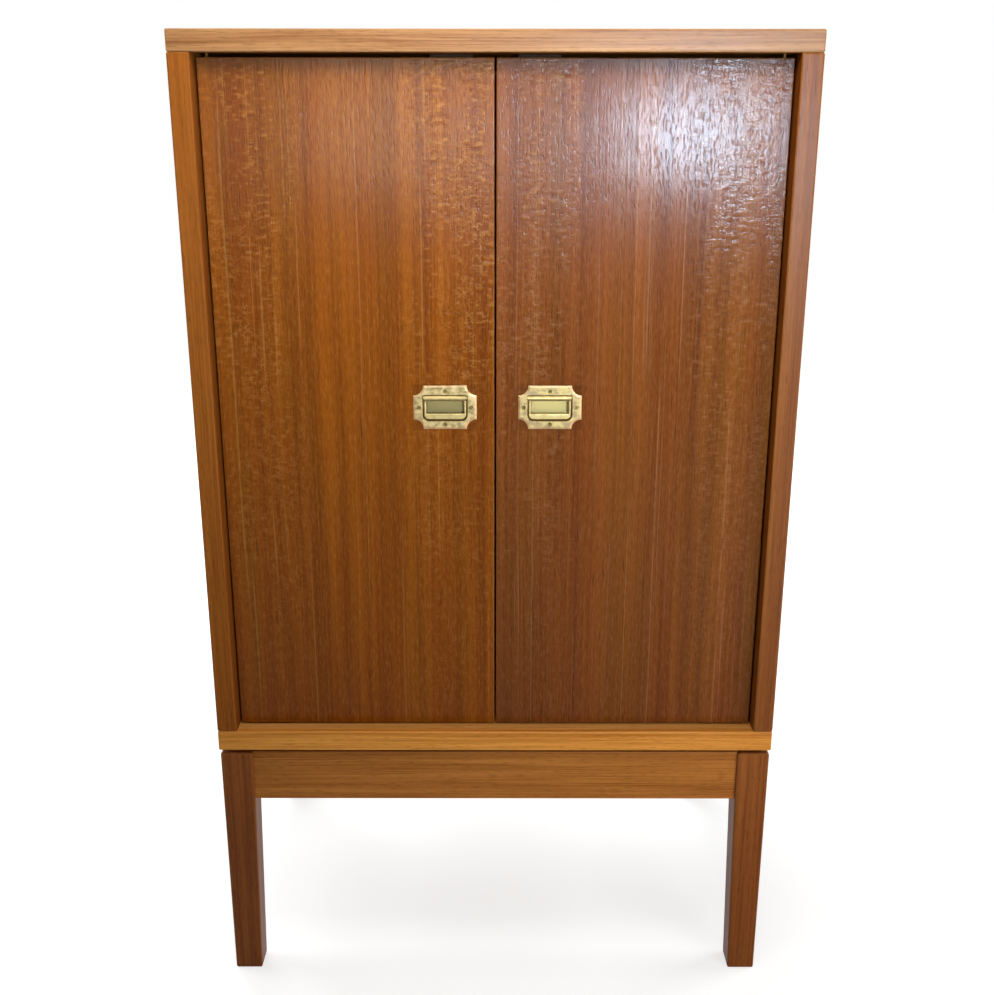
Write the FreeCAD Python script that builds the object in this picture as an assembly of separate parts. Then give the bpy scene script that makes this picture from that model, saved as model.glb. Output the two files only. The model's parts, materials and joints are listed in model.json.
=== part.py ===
import FreeCAD, Part
import os

# Bar cabinet: a two-door teak case on a separate leg stand, with flush brass drop pulls.
# Millimetres, +Z up, the front towards -Y, origin on the floor under the middle of the cabinet.
# Pieces are modelled for the left hand and mirrored for the right.

# Overall sizes
WIDTH = 660.0
DEPTH = 440.0
CASE_HEIGHT = 805.0
STAND_HEIGHT = 306.0
SHADOW_GAP = 5.0

# Case boards, with a solid strip along each front edge
TOP_BOARD = 22.0
BOTTOM_BOARD = 25.0
SIDE_BOARD = 23.0
LIPPING = 8.0
ARRIS = 2.0

# Back panel, let into a rebate round the back of the case
BACK_THICKNESS = 6.0
REBATE = 10.0
BACK_PLAY = 0.5
BACK_SCREWS_UP = 3
BACK_SCREWS_ACROSS = 2

# Dowels between the sides and the lying boards
DOWEL = 8.0
DOWEL_IN_SIDE = 24.0
DOWEL_IN_BOARD = 14.0
DOWEL_MARGIN = 55.0
DOWELS_PER_JOINT = 3

# Loose shelves on pins in drilled rows; heights run from the bottom board to the shelf's underside
SHELF_THICKNESS = 18.0
SHELF_HEIGHTS = {"lower_shelf": 330.0, "upper_shelf": 528.0}
SHELF_PLAY = 1.0
SHELF_SETBACK = 14.0
SHELF_ARRIS = 1.5
SHELF_PIN = 5.0
SHELF_PIN_SUNK = 10.0
SHELF_PIN_PROUD = 9.0
SHELF_PIN_INSET = 55.0
SHELF_HOLE_PITCH = 32.0
SHELF_HOLES = 3

# Leg stand: outer leg faces upright, inner faces tapering below the rails
LEG_WIDTH = 38.0
FOOT_WIDTH = 33.0
LEG_INSET = 1.0
LEG_SETBACK = 2.0
LEG_ARRIS = 2.5
FOOT_ARRIS = 2.5
RAIL_HEIGHT = 64.0
RAIL_THICKNESS = 20.0
RAIL_SETBACK = 4.0
RAIL_ARRIS = 1.5
TENON_THICKNESS = 9.0
TENON_SHOULDER = 8.0
TENON_WEB = 2.5
TENON_PLAY = 0.1

# Bearers inside the side rails; they stand proud of the stand and carry the case
BEARER_WIDTH = 24.0
BEARER_HEIGHT = 34.0
BEARER_PLAY = 1.0
BEARER_SCREWS = 3
BEARER_SCREW_MARGIN = 40.0
BEARER_SCREW_STAGGER = 30.0
BEARER_SCREW_BITE = 14.0

# Doors, inset behind the front edges of the case
DOOR_RECESS = 20.0
DOOR_THICKNESS = 19.0
DOOR_SIDE_GAP = 2.0
DOOR_TOP_GAP = 4.0
DOOR_FOOT_GAP = 1.2
MEETING_GAP = 2.0
DOOR_ARRIS = 1.2

# Knife hinges, a pair at the top and bottom of each door
PIVOT_FROM_FACE = 6.0
PIVOT_FROM_EDGE = 10.0
LEAF_WIDTH = 9.0
LEAF_REACH = 46.0
LEAF_THICKNESS = 2.5
LEAF_SCREWS = 2
PIVOT_PIN = 5.0
PIVOT_TAIL = 4.0
PIVOT_RELIEF = 1.0
WASHER = 9.0
WASHER_PLAY = 0.1

# Magnetic catch under the top board and its keeper on the door
CATCH_LENGTH = 46.0
CATCH_DEPTH = 16.0
CATCH_HEIGHT = 16.0
CATCH_CORNER = 3.0
CATCH_FROM_MEETING = 45.0
CATCH_SCREW_SPAN = 34.0
MAGNET_LENGTH = 22.0
MAGNET_HEIGHT = 8.0
MAGNET_DEPTH = 9.0
MAGNET_PROUD = 0.8
MAGNET_PLAY = 0.1
CATCH_AIR = 0.3
KEEPER_LENGTH = 38.0
KEEPER_HEIGHT = 10.0
KEEPER_THICKNESS = 1.5
KEEPER_CORNER = 2.5
KEEPER_MARGIN = 1.5
KEEPER_SCREW_SPAN = 28.0

# Flush pulls: plate, pressed cup, drop bail; setbacks run from the meeting edge of the door
PULL_HEIGHT = 726.0
PULL_SETBACK = {"left": 54.55, "right": 59.55}
PLATE_SIDE_LAND = 10.0
PLATE_TOP_LAND = 10.6
PLATE_BOTTOM_LAND = 8.9
PLATE_THICKNESS = 2.0
PLATE_PROUD = 0.8
PLATE_SCOOP = 11.0
PLATE_RIM = 2.2
PLATE_ARRIS = 0.55
PLATE_PLAY = 0.2
WINDOW_WIDTH = 50.0
WINDOW_TOP = 13.9
WINDOW_BOTTOM = 15.6
WINDOW_LOWER_CORNER = 7.0
WINDOW_UPPER_CORNER = 1.5
CUP_DEPTH = 8.4
CUP_WALL = 1.2
CUP_CORNER = 2.5
CUP_PLAY = 0.4
BAIL_PLAY = 1.1
BAIL_BARREL = 6.8
BAIL_BARREL_PLAY = 0.4
BAIL_ARM = 3.4
BAIL_BAR = 7.2
BAIL_THICKNESS = 3.0
BAIL_ARRIS = 1.4
BAIL_PIN = 1.8
BAIL_PIN_REACH = 4.0
BAIL_PIN_DEPTH = 1.3
PULL_SCREW_LAND = 0.4

# Countersunk wood screws: head diameter, shank diameter, length
BACK_SCREW = (6.0, 3.0, 22.0)
LEAF_SCREW = (5.0, 2.8, 14.0)
CATCH_SCREW = (6.0, 3.0, 28.0)
KEEPER_SCREW = (5.0, 2.5, 11.0)
PULL_SCREW = (4.8, 2.6, 14.0)
BEARER_SCREW_HEAD = 8.0
BEARER_SCREW_SHANK = 4.5
SCREW_OVERCUT = 0.5

# Clearances of fixed and turning fits, per side
FIXED_FIT = 0.02
TURNING_FIT = 0.05
SCREW_FIT = 0.05
LEAF_FIT = 0.1
TOUCH = 0.001

# Planes and lines that several pieces share
FRONT = -DEPTH / 2
BACK = DEPTH / 2
CASE_BOTTOM = STAND_HEIGHT + SHADOW_GAP
CASE_TOP = CASE_BOTTOM + CASE_HEIGHT
FLOOR = CASE_BOTTOM + BOTTOM_BOARD
CEILING = CASE_TOP - TOP_BOARD
OUTSIDE = -WIDTH / 2
INSIDE = OUTSIDE + SIDE_BOARD
BACK_FACE = BACK - BACK_THICKNESS
DOOR_FRONT = FRONT + DOOR_RECESS
DOOR_BACK = DOOR_FRONT + DOOR_THICKNESS
DOOR_HINGE_EDGE = INSIDE + DOOR_SIDE_GAP
DOOR_MEETING_EDGE = -MEETING_GAP / 2
PIVOT_X = DOOR_HINGE_EDGE + PIVOT_FROM_EDGE
PIVOT_Y = DOOR_FRONT + PIVOT_FROM_FACE
LEG_X = OUTSIDE + LEG_INSET
LEG_Y = FRONT + LEG_SETBACK
LEG_INNER_X = LEG_X + LEG_WIDTH
LEG_INNER_Y = LEG_Y + LEG_WIDTH
RAIL_BOTTOM = STAND_HEIGHT - RAIL_HEIGHT
TENON_LENGTH = LEG_WIDTH - RAIL_SETBACK - (RAIL_THICKNESS + TENON_THICKNESS) / 2 - TENON_WEB
SHELF_FRONT = DOOR_BACK + SHELF_SETBACK
SHELF_BACK = BACK_FACE - SHELF_PLAY

V = FreeCAD.Vector
X, Y, Z = V(1, 0, 0), V(0, 1, 0), V(0, 0, 1)
nodes = {}


# Shaping helpers

def block(x, y, z):
    """Box between pairs of limits, given in either order."""
    low = V(min(x), min(y), min(z))
    size = V(max(x), max(y), max(z)) - low
    return Part.makeBox(size.x, size.y, size.z, low)


def grown(limits, play):
    """A pair of limits widened by a play on both sides."""
    return min(limits) - play, max(limits) + play


def about(middle, size):
    """A pair of limits of a given size round a middle."""
    return middle - size / 2, middle + size / 2


def rod(radius, start, end):
    """Round bar between two points."""
    return Part.makeCylinder(radius, (end - start).Length, start, end - start)


def soften(shape, radius, pick):
    """Round the edges whose bounding boxes are picked."""
    return shape.makeFillet(radius, [edge for edge in shape.Edges if pick(edge.BoundBox)])


def bevel(shape, size, pick):
    """Break the edges whose bounding boxes are picked with a small flat."""
    return shape.makeChamfer(size, [edge for edge in shape.Edges if pick(edge.BoundBox)])


def spread(start, end, count):
    """Evenly spaced places from start to end."""
    return [start + (end - start) * step / (count - 1) for step in range(count)]


def mirrored(shape):
    """The right-hand copy of a left-hand shape."""
    return shape.mirror(V(), X)


def turned_back(shape):
    """The rear copy of a front shape."""
    return shape.mirror(V(), Y)


def for_hand(hand, shape):
    """A left-hand shape as it is, or its right-hand copy."""
    return mirrored(shape) if hand == "right" else shape


def both_hands(shapes):
    """A list of left-hand shapes with their right-hand copies."""
    return shapes + [mirrored(shape) for shape in shapes]


def carve(shape, cutters):
    """Cut a list of solids out of a shape."""
    return shape.cut(cutters).removeSplitter()


def screw(kind, at, along, fit=0.0):
    """Countersunk screw from the face of its head; a fit above zero makes the hole that it sits in."""
    head, shank, length = kind
    head_radius = head / 2 + fit
    shank_radius = shank / 2 + fit
    top = SCREW_OVERCUT if fit else 0.0
    neck = shank_radius - head_radius
    outline = Part.makePolygon([
        V(0, 0, top), V(head_radius + top, 0, top), V(shank_radius, 0, neck),
        V(shank_radius, 0, -length - fit), V(0, 0, -length - fit), V(0, 0, top)])
    solid = Part.Face(outline).revolve(V(), Z, 360)
    solid.Placement = FreeCAD.Placement(at, FreeCAD.Rotation(-Z, along))
    return solid


def screws_and_holes(kind, places, along):
    """Screws at several places, and the holes for them."""
    screws = [screw(kind, place, along) for place in places]
    holes = [screw(kind, place, along, SCREW_FIT) for place in places]
    return screws, holes


# Knife hinges: a leaf let into the case, a leaf let into the door's edge, a pin through both

def leaf(z, play):
    """Leaf with round ends, from the pivot towards the meeting edge."""
    radius = LEAF_WIDTH / 2 + play
    far = PIVOT_X + LEAF_REACH
    bar = block((PIVOT_X, far), about(PIVOT_Y, 2 * radius), z)
    ends = [rod(radius, V(x, PIVOT_Y, min(z)), V(x, PIVOT_Y, max(z))) for x in (PIVOT_X, far)]
    return bar.fuse(ends).removeSplitter()


def hinge(level, face, up, gap):
    """One hinge of the left door; up is 1 where the case lies above the door and -1 where it lies below."""
    edge = face - up * gap
    fixed_z = (face, face + up * LEAF_THICKNESS)
    door_z = (edge, edge - up * LEAF_THICKNESS)
    pin_ends = V(PIVOT_X, PIVOT_Y, fixed_z[1]), V(PIVOT_X, PIVOT_Y, door_z[1] - up * PIVOT_TAIL)
    relief_end = pin_ends[1] - Z * up * PIVOT_RELIEF
    screw_x = [PIVOT_X + LEAF_REACH * (step + 1) / LEAF_SCREWS for step in range(LEAF_SCREWS)]
    fixed_screws, fixed_holes = screws_and_holes(LEAF_SCREW, [V(x, PIVOT_Y, face) for x in screw_x], Z * up)
    door_screws, door_holes = screws_and_holes(LEAF_SCREW, [V(x, PIVOT_Y, edge) for x in screw_x], -Z * up)
    pin_seat = rod(PIVOT_PIN / 2 + FIXED_FIT, *pin_ends)
    pin_bore = rod(PIVOT_PIN / 2 + TURNING_FIT, *pin_ends)
    pin_relief = rod(PIVOT_PIN / 2 + PIVOT_RELIEF, V(PIVOT_X, PIVOT_Y, edge), relief_end)
    return {
        level + "_fixed_leaf": carve(leaf(fixed_z, 0.0), fixed_holes + [pin_seat]),
        level + "_door_leaf": carve(leaf(door_z, 0.0), door_holes + [pin_bore]),
        "pin": rod(PIVOT_PIN / 2, *pin_ends),
        "fixed_screws": fixed_screws,
        "door_screws": door_screws,
        "case_cuts": [leaf(fixed_z, LEAF_FIT)] + fixed_holes,
        "door_cuts": [leaf(door_z, LEAF_FIT), pin_relief] + door_holes,
    }


def washer():
    """Ring on the lower pin that carries the door."""
    low, high = V(PIVOT_X, PIVOT_Y, FLOOR), V(PIVOT_X, PIVOT_Y, FLOOR + DOOR_FOOT_GAP - WASHER_PLAY)
    return rod(WASHER / 2, low, high).cut(rod(PIVOT_PIN / 2 + TURNING_FIT, low, high))


hinges = {
    "upper": hinge("upper", CEILING, 1, DOOR_TOP_GAP),
    "lower": hinge("lower", FLOOR, -1, DOOR_FOOT_GAP),
}
for level, pieces in hinges.items():
    for name in (level + "_fixed_leaf", level + "_door_leaf"):
        nodes["left_" + name] = pieces[name]
        nodes["right_" + name] = mirrored(pieces[name])
nodes["hinge_pins"] = both_hands([pieces["pin"] for pieces in hinges.values()])
nodes["hinge_washers"] = both_hands([washer()])
nodes["fixed_leaf_screws"] = both_hands([one for pieces in hinges.values() for one in pieces["fixed_screws"]])
door_leaf_screws = [one for pieces in hinges.values() for one in pieces["door_screws"]]
nodes["left_door_leaf_screws"] = door_leaf_screws
nodes["right_door_leaf_screws"] = [mirrored(one) for one in door_leaf_screws]


# Magnetic catch: housing and magnet under the top board, keeper on the back of the door

CATCH_X = DOOR_MEETING_EDGE - CATCH_FROM_MEETING
CATCH_MIDDLE = CEILING - DOOR_TOP_GAP - KEEPER_MARGIN - KEEPER_HEIGHT / 2
MAGNET_FACE = DOOR_BACK + KEEPER_THICKNESS + CATCH_AIR
CATCH_FRONT = MAGNET_FACE + MAGNET_PROUD


def magnet(play):
    """Magnet bar, or with a play the pocket that it lies in."""
    depth = (MAGNET_FACE, MAGNET_FACE + MAGNET_DEPTH + play)
    return block(grown(about(CATCH_X, MAGNET_LENGTH), play), depth,
                 grown(about(CATCH_MIDDLE, MAGNET_HEIGHT), play))


catch_places = [
    V(CATCH_X + side * CATCH_SCREW_SPAN / 2, CATCH_FRONT + CATCH_DEPTH / 2, CEILING - CATCH_HEIGHT)
    for side in (-1, 1)]
catch_screws, catch_holes = screws_and_holes(CATCH_SCREW, catch_places, Z)
housing = block(about(CATCH_X, CATCH_LENGTH), (CATCH_FRONT, CATCH_FRONT + CATCH_DEPTH),
                (CEILING - CATCH_HEIGHT, CEILING))
housing = soften(housing, CATCH_CORNER, lambda box: box.ZLength > CATCH_HEIGHT - TOUCH)
housing = carve(housing, catch_holes + [magnet(MAGNET_PLAY)])
nodes["left_catch_housing"] = housing
nodes["right_catch_housing"] = mirrored(housing)
nodes["catch_magnets"] = both_hands([magnet(0.0)])
nodes["catch_screws"] = both_hands(catch_screws)

keeper_places = [V(CATCH_X + side * KEEPER_SCREW_SPAN / 2, DOOR_BACK + KEEPER_THICKNESS, CATCH_MIDDLE)
                 for side in (-1, 1)]
keeper_screws, keeper_holes = screws_and_holes(KEEPER_SCREW, keeper_places, -Y)
keeper = block(about(CATCH_X, KEEPER_LENGTH), (DOOR_BACK, DOOR_BACK + KEEPER_THICKNESS),
               about(CATCH_MIDDLE, KEEPER_HEIGHT))
keeper = soften(keeper, KEEPER_CORNER, lambda box: box.YLength > KEEPER_THICKNESS - TOUCH)
keeper = carve(keeper, keeper_holes)
nodes["left_keeper"] = keeper
nodes["right_keeper"] = mirrored(keeper)
nodes["left_keeper_screws"] = keeper_screws
nodes["right_keeper_screws"] = [mirrored(one) for one in keeper_screws]


# Leg stand

def rounded_square(width, z):
    """Outline of a leg at one height, from its outer corner inwards."""
    middle = V(LEG_X + width / 2, LEG_Y + width / 2, z)
    reach = width / 2 - LEG_ARRIS
    quarters = (((1, 1), 0), ((-1, 1), 90), ((-1, -1), 180), ((1, -1), 270))
    arcs = [Part.makeCircle(LEG_ARRIS, middle + V(sx * reach, sy * reach, 0), Z, angle, angle + 90)
            for (sx, sy), angle in quarters]
    ends = [(arc.valueAt(arc.FirstParameter), arc.valueAt(arc.LastParameter)) for arc in arcs]
    edges = []
    for step, arc in enumerate(arcs):
        edges += [arc, Part.makeLine(ends[step][1], ends[(step + 1) % len(arcs)][0])]
    return Part.Wire(edges)


tenon_z = (RAIL_BOTTOM + TENON_SHOULDER, STAND_HEIGHT - TENON_SHOULDER)
rail_line_x = LEG_X + RAIL_SETBACK + RAIL_THICKNESS / 2
rail_line_y = LEG_Y + RAIL_SETBACK + RAIL_THICKNESS / 2
front_tenon = ((LEG_INNER_X - TENON_LENGTH, LEG_INNER_X), about(rail_line_y, TENON_THICKNESS), tenon_z)
side_tenon = (about(rail_line_x, TENON_THICKNESS), (LEG_INNER_Y - TENON_LENGTH, LEG_INNER_Y), tenon_z)
mortises = [block(*[grown(limits, TENON_PLAY) for limits in tenon]) for tenon in (front_tenon, side_tenon)]

leg_sections = ((FOOT_WIDTH, 0.0), (LEG_WIDTH, RAIL_BOTTOM), (LEG_WIDTH, STAND_HEIGHT))
leg = Part.makeLoft([rounded_square(width, z) for width, z in leg_sections], True, True)
leg = soften(leg, FOOT_ARRIS, lambda box: box.ZMax < TOUCH)
leg = bevel(leg, ARRIS, lambda box: box.ZMin > STAND_HEIGHT - TOUCH)
leg = carve(leg, mortises)
nodes["front_left_leg"] = leg
nodes["front_right_leg"] = mirrored(leg)
nodes["rear_left_leg"] = turned_back(leg)
nodes["rear_right_leg"] = mirrored(turned_back(leg))

rail_z = (RAIL_BOTTOM, STAND_HEIGHT)
front_rail = block((LEG_INNER_X, -LEG_INNER_X), about(rail_line_y, RAIL_THICKNESS), rail_z)
front_rail = soften(front_rail, RAIL_ARRIS, lambda box: box.XLength > RAIL_HEIGHT)
front_rail = front_rail.fuse(both_hands([block(*front_tenon)])).removeSplitter()
nodes["front_rail"] = front_rail
nodes["rear_rail"] = turned_back(front_rail)

bearer_x = (rail_line_x + RAIL_THICKNESS / 2, rail_line_x + RAIL_THICKNESS / 2 + BEARER_WIDTH)
bearer_y = (LEG_INNER_Y + BEARER_PLAY, -LEG_INNER_Y - BEARER_PLAY)
bearer_z = (CASE_BOTTOM - BEARER_HEIGHT, CASE_BOTTOM)
screw_y = spread(bearer_y[0] + BEARER_SCREW_MARGIN, bearer_y[1] - BEARER_SCREW_MARGIN, BEARER_SCREWS)
upward = (BEARER_SCREW_HEAD, BEARER_SCREW_SHANK, BEARER_HEIGHT + BEARER_SCREW_BITE)
sideways = (BEARER_SCREW_HEAD, BEARER_SCREW_SHANK, BEARER_WIDTH + BEARER_SCREW_BITE)
sideways_z = (bearer_z[0] + STAND_HEIGHT) / 2
stand_screws, stand_holes = screws_and_holes(
    upward, [V(sum(bearer_x) / 2, y, bearer_z[0]) for y in screw_y], Z)
bearer_screws, bearer_holes = screws_and_holes(
    sideways, [V(bearer_x[1], y + BEARER_SCREW_STAGGER, sideways_z) for y in screw_y[:-1]], -X)
bearer = carve(block(bearer_x, bearer_y, bearer_z), stand_holes + bearer_holes)
nodes["left_bearer"] = bearer
nodes["right_bearer"] = mirrored(bearer)
nodes["stand_screws"] = both_hands(stand_screws)
nodes["bearer_screws"] = both_hands(bearer_screws)

side_rail = block(about(rail_line_x, RAIL_THICKNESS), (LEG_INNER_Y, -LEG_INNER_Y), rail_z)
side_rail = soften(side_rail, RAIL_ARRIS, lambda box: box.YLength > RAIL_HEIGHT)
side_tenons = [block(*side_tenon), turned_back(block(*side_tenon))]
side_rail = carve(side_rail.fuse(side_tenons).removeSplitter(), bearer_holes)
nodes["left_rail"] = side_rail
nodes["right_rail"] = mirrored(side_rail)


# Case: boards with rounded arrises, joined by dowels, then parted into core and front lipping

def dowel(y, face, up, play):
    """Dowel across one joint, or with a play the hole for it."""
    x = (OUTSIDE + INSIDE) / 2
    board_end = V(x, y, face + up * (DOWEL_IN_BOARD + play))
    side_end = V(x, y, face - up * (DOWEL_IN_SIDE + play))
    return rod(DOWEL / 2 + play, side_end, board_end)


def parted(board):
    """A board's core and the lipping along its front edge."""
    strip = block((-WIDTH, WIDTH), (FRONT - LIPPING, FRONT + LIPPING), (0, CASE_TOP + LIPPING))
    return board.cut(strip), board.common(strip)


back_limits = ((INSIDE - REBATE, -INSIDE + REBATE), (BACK_FACE, BACK), (FLOOR - REBATE, CEILING + REBATE))
rebate = block(back_limits[0], (BACK_FACE, BACK + ARRIS), back_limits[2])
rebate_x = INSIDE - REBATE / 2
rebate_z = (FLOOR - REBATE / 2, CEILING + REBATE / 2)
up_z = spread(rebate_z[0], rebate_z[1], BACK_SCREWS_UP + 2)[1:-1]
across_x = spread(rebate_x, -rebate_x, BACK_SCREWS_ACROSS + 2)[1:-1]
back_places = [V(x, BACK, z) for x in (rebate_x, -rebate_x) for z in up_z]
back_places += [V(x, BACK, z) for x in across_x for z in rebate_z]
back_screws, back_holes = screws_and_holes(BACK_SCREW, back_places, -Y)
nodes["back_panel"] = carve(
    block(grown(back_limits[0], -BACK_PLAY), back_limits[1], grown(back_limits[2], -BACK_PLAY)), back_holes)
nodes["back_panel_screws"] = back_screws

dowel_y = spread(FRONT + DOWEL_MARGIN, BACK_FACE - DOWEL_MARGIN, DOWELS_PER_JOINT)
joints = ((CEILING, 1), (FLOOR, -1))
nodes["case_dowels"] = both_hands([dowel(y, face, up, 0.0) for face, up in joints for y in dowel_y])
dowel_holes = [dowel(y, face, up, FIXED_FIT) for face, up in joints for y in dowel_y]
case_cuts = both_hands(dowel_holes) + [rebate] + back_holes

top = block((OUTSIDE, -OUTSIDE), (FRONT, BACK), (CEILING, CASE_TOP))
top = top.makeFillet(ARRIS, top.Edges)
top = carve(top, case_cuts + both_hands(hinges["upper"]["case_cuts"] + catch_holes))
nodes["top_panel"], nodes["top_lipping"] = parted(top)

bottom = block((OUTSIDE, -OUTSIDE), (FRONT, BACK), (CASE_BOTTOM, FLOOR))
bottom = bottom.makeFillet(ARRIS, bottom.Edges)
bottom = carve(bottom, case_cuts + both_hands(hinges["lower"]["case_cuts"] + stand_holes))
nodes["bottom_panel"], nodes["bottom_lipping"] = parted(bottom)


# Shelves, their pins and the rows of holes in the sides

def shelf_pin(y, z):
    """Brass pin sunk in the side."""
    return rod(SHELF_PIN / 2, V(INSIDE - SHELF_PIN_SUNK, y, z), V(INSIDE + SHELF_PIN_PROUD, y, z))


row_y = (SHELF_FRONT + SHELF_PIN_INSET, SHELF_BACK - SHELF_PIN_INSET)
hole_steps = spread(-SHELF_HOLE_PITCH, SHELF_HOLE_PITCH, SHELF_HOLES)
shelf_pins = []
shelf_holes = []
for name, height in SHELF_HEIGHTS.items():
    underside = FLOOR + height
    pin_z = underside - SHELF_PIN / 2
    shelf = block((INSIDE + SHELF_PLAY, -INSIDE - SHELF_PLAY), (SHELF_FRONT, SHELF_BACK),
                  (underside, underside + SHELF_THICKNESS))
    nodes[name] = soften(shelf, SHELF_ARRIS,
                         lambda box: box.YMax < SHELF_FRONT + TOUCH and box.XLength > SHELF_THICKNESS)
    for y in row_y:
        shelf_pins.append(shelf_pin(y, pin_z))
        for step in hole_steps:
            hole_end = V(INSIDE - SHELF_PIN_SUNK - FIXED_FIT, y, pin_z + step)
            shelf_holes.append(rod(SHELF_PIN / 2 + FIXED_FIT, hole_end, V(INSIDE, y, pin_z + step)))
nodes["shelf_pins"] = both_hands(shelf_pins)

side = block((OUTSIDE, INSIDE), (FRONT, BACK), (FLOOR, CEILING))
side = soften(side, ARRIS, lambda box: box.YMax < FRONT + TOUCH or box.XMax < OUTSIDE + TOUCH)
side = carve(side, dowel_holes + [rebate] + back_holes + shelf_holes)
nodes["left_side"], nodes["left_side_lipping"] = parted(side)
nodes["right_side"] = mirrored(nodes["left_side"])
nodes["right_side_lipping"] = mirrored(nodes["left_side_lipping"])


# Flush pull, modelled round the middle of its plate on the door's face

PLATE_WIDTH = WINDOW_WIDTH + 2 * PLATE_SIDE_LAND
PLATE_LOW = -WINDOW_BOTTOM - PLATE_BOTTOM_LAND
PLATE_HEIGHT = WINDOW_TOP + PLATE_TOP_LAND - PLATE_LOW
PLATE_BACK = PLATE_THICKNESS - PLATE_PROUD
BAIL_AXIS_Y = PLATE_BACK + BAIL_PIN_DEPTH
BAIL_AXIS_Z = WINDOW_TOP - BAIL_BARREL_PLAY - BAIL_BARREL / 2
BAIL_HALF = WINDOW_WIDTH / 2 - BAIL_PLAY
BAIL_BOTTOM = -WINDOW_BOTTOM + BAIL_PLAY


def scooped_plate(y, play):
    """Plate with a quarter-round scooped out of each corner, grown by a play."""
    across, upward = about(0.0, PLATE_WIDTH), (PLATE_LOW, PLATE_LOW + PLATE_HEIGHT)
    plate = block(grown(across, play), y, grown(upward, play))
    scoops = [rod(PLATE_SCOOP - play, V(x, min(y), z), V(x, max(y), z)) for x in across for z in upward]
    return carve(plate, scoops)


def plate_rim():
    """Front of the plate, sloping from its outline up to its flat face."""
    depths = (-PLATE_PROUD, -PLATE_PROUD + PLATE_ARRIS)
    outlines = []
    for depth, play in zip(depths, (-PLATE_RIM, 0.0)):
        slab = scooped_plate((depth, PLATE_BACK), play)
        outlines += [face.OuterWire for face in slab.Faces if face.BoundBox.YMax < depth + TOUCH]
    return Part.makeLoft(outlines, True, True)


def window(y, grow):
    """Window with large lower corners, grown by a wall or a play."""
    half = WINDOW_WIDTH / 2 + grow
    shape = block((-half, half), y, (-WINDOW_BOTTOM - grow, WINDOW_TOP + grow))
    shape = soften(shape, WINDOW_LOWER_CORNER + grow, lambda box: box.ZMax < 0 and box.XLength < TOUCH)
    return soften(shape, WINDOW_UPPER_CORNER + grow,
                  lambda box: box.ZMin > 0 and box.XLength < TOUCH and box.ZLength < TOUCH)


def dished(shape, radius):
    """Round the edges at the back of a cup."""
    depth = shape.BoundBox.YMax
    return soften(shape, radius, lambda box: box.YMin > depth - TOUCH)


def pull_plate(holes):
    """Let-in plate with its window and screw holes."""
    plate = scooped_plate((-PLATE_PROUD + PLATE_ARRIS, PLATE_BACK), 0.0).fuse(plate_rim())
    return carve(plate, [window((-PLATE_PROUD, PLATE_BACK), 0.0)] + holes)


def bail_bores(radius):
    """Bars on the bail's axis, through the cup's walls and into the barrel's ends."""
    outer = WINDOW_WIDTH / 2 + CUP_WALL
    inner = BAIL_HALF - BAIL_PIN_REACH
    return [rod(radius, V(side * inner, BAIL_AXIS_Y, BAIL_AXIS_Z), V(side * outer, BAIL_AXIS_Y, BAIL_AXIS_Z))
            for side in (-1, 1)]


def pull_cup():
    """Pressed cup behind the window, with holes for the bail's pins."""
    floor = PLATE_BACK + CUP_DEPTH
    outer = dished(window((PLATE_BACK, floor + CUP_WALL), CUP_WALL), CUP_CORNER)
    inner = dished(window((PLATE_BACK, floor), 0.0), CUP_CORNER - CUP_WALL)
    return carve(outer, [inner] + bail_bores(BAIL_PIN / 2 + FIXED_FIT))


def bail():
    """Drop bail: a round barrel, two flat arms and a deeper bar with round corners."""
    flat_y = about(BAIL_AXIS_Y, BAIL_THICKNESS)
    loop = block((-BAIL_HALF, BAIL_HALF), flat_y, (BAIL_BOTTOM, BAIL_AXIS_Z))
    corner = WINDOW_LOWER_CORNER - BAIL_PLAY
    loop = soften(loop, corner, lambda box: box.ZMax < BAIL_BOTTOM + TOUCH and box.XLength < TOUCH)
    inner = BAIL_HALF - BAIL_ARM
    loop = loop.cut(block((-inner, inner), flat_y, (BAIL_BOTTOM + BAIL_BAR, BAIL_AXIS_Z)))
    loop = soften(loop, BAIL_ARRIS,
                  lambda box: box.YLength < TOUCH and box.ZMin < BAIL_AXIS_Z - BAIL_BARREL)
    barrel_ends = [V(side * BAIL_HALF, BAIL_AXIS_Y, BAIL_AXIS_Z) for side in (-1, 1)]
    barrel = rod(BAIL_BARREL / 2, *barrel_ends)
    return carve(loop.fuse(barrel).removeSplitter(), bail_bores(BAIL_PIN / 2 + TURNING_FIT))


def pull_screw_places():
    """Screw places in the lands between the window and the plate's four sides."""
    beside = WINDOW_WIDTH / 2 + PULL_SCREW_LAND * PLATE_SIDE_LAND
    above = WINDOW_TOP + PULL_SCREW_LAND * PLATE_TOP_LAND
    below = WINDOW_BOTTOM + PULL_SCREW_LAND * PLATE_BOTTOM_LAND
    return [V(x, -PLATE_PROUD, z) for x, z in ((-beside, 0), (beside, 0), (0, above), (0, -below))]


def pull():
    """All pieces of a pull and the cuts that seat it in the door."""
    screws, holes = screws_and_holes(PULL_SCREW, pull_screw_places(), Y)
    cup_back = PLATE_BACK + CUP_DEPTH + CUP_WALL
    seats = [scooped_plate((-PLATE_BACK, PLATE_BACK), PLATE_PLAY),
             window((0, cup_back + CUP_PLAY), CUP_WALL + CUP_PLAY)]
    pieces = {
        "pull_plate": pull_plate(holes),
        "pull_cup": pull_cup(),
        "pull_bail": bail(),
        "bail_pins": bail_bores(BAIL_PIN / 2),
        "pull_screws": screws,
    }
    return pieces, seats + holes


# Doors, each with the seats of its hinge leaves, keeper screws and pull

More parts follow.
